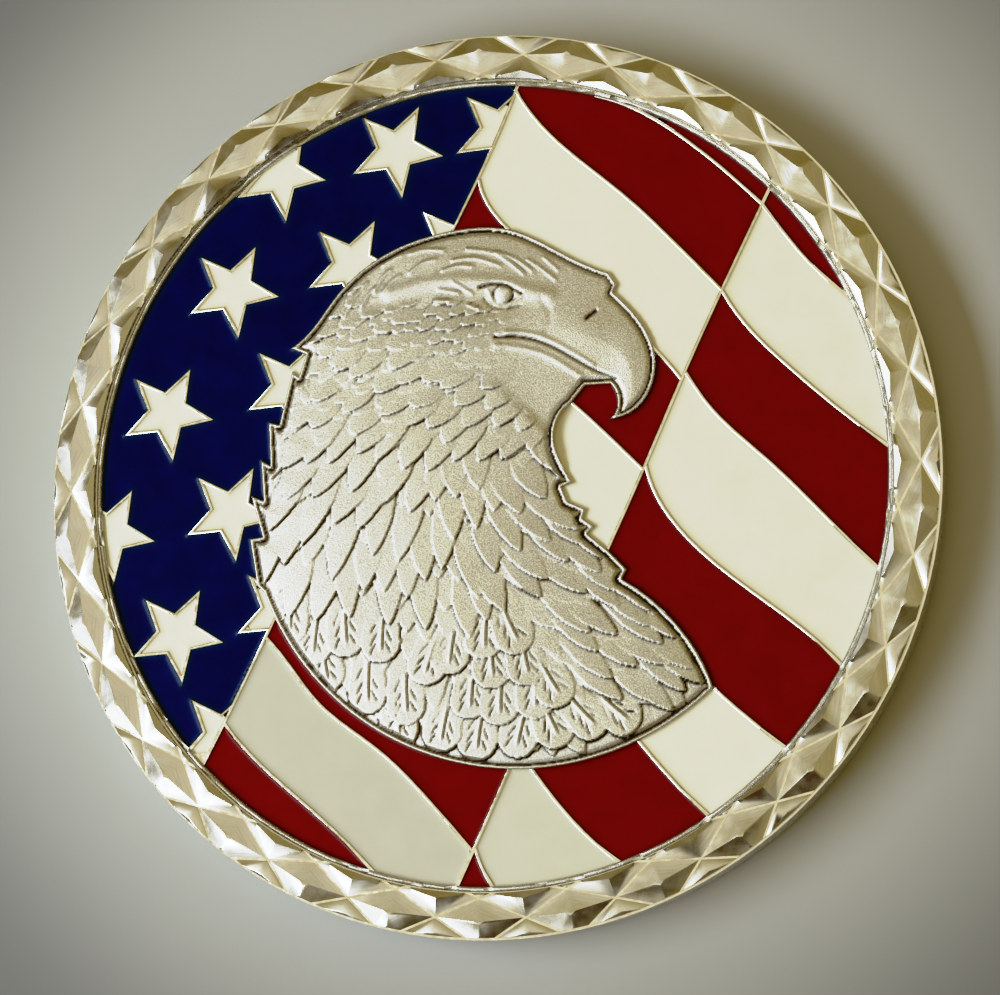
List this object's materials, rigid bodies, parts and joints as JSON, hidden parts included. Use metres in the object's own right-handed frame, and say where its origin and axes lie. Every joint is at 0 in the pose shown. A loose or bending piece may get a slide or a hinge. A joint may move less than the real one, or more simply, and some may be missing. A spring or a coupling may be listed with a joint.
{
  "type": "challenge coin",
  "caption": "Round plated metal challenge coin with a diamond-cut rim, a raised eagle's head and a waving striped and starred flag in recessed soft enamel.",
  "frame": {"origin": "centre of the reverse face, on the plane that the coin rests on", "axes": "+Z out of the obverse, +Y to the top of the obverse design, +X to its right"},
  "size_m": [0.0444, 0.0444, 0.0032],
  "materials": {
    "silver_plate": "bright silver plate on a struck zinc alloy body, polished lines and diamond-cut rim, fine sandblast on the relief",
    "blue_enamel": "navy soft enamel, glossy, slightly dished in each recess",
    "red_enamel": "deep red soft enamel, glossy, slightly dished in each recess",
    "white_enamel": "warm white soft enamel, glossy, slightly dished in each recess"
  },
  "bodies": {
    "root": {"blue_canton_fill": "blue_enamel", "coin_body": "silver_plate", "red_beak_fill": "red_enamel", "red_bottom_stripe_fill": "red_enamel", "red_bust_stripe_fill": "red_enamel", "red_crown_corner_fill": "red_enamel", "red_foot_corner_fill": "red_enamel", "red_lower_fold_stripe_fill": "red_enamel", "red_short_fold_stripe_fill": "red_enamel", "red_side_sliver_fill": "red_enamel", "red_top_sliver_fill": "red_enamel", "red_top_stripe_fill": "red_enamel", "red_upper_fold_stripe_fill": "red_enamel", "star_fill_01": "white_enamel", "star_fill_02": "white_enamel", "star_fill_03": "white_enamel", "star_fill_04": "white_enamel", "star_fill_05": "white_enamel", "star_fill_06": "white_enamel", "star_fill_07": "white_enamel", "star_fill_08": "white_enamel", "star_fill_09": "white_enamel", "star_fill_10": "white_enamel", "star_fill_11": "white_enamel", "star_fill_12": "white_enamel", "star_fill_13": "white_enamel", "white_bottom_stripe_fill": "white_enamel", "white_crown_stripe_fill": "white_enamel", "white_lower_fold_stripe_fill": "white_enamel", "white_middle_fold_stripe_fill": "white_enamel", "white_short_fold_stripe_fill": "white_enamel", "white_throat_fill": "white_enamel", "white_upper_fold_stripe_fill": "white_enamel"}
  },
  "joints": []
}
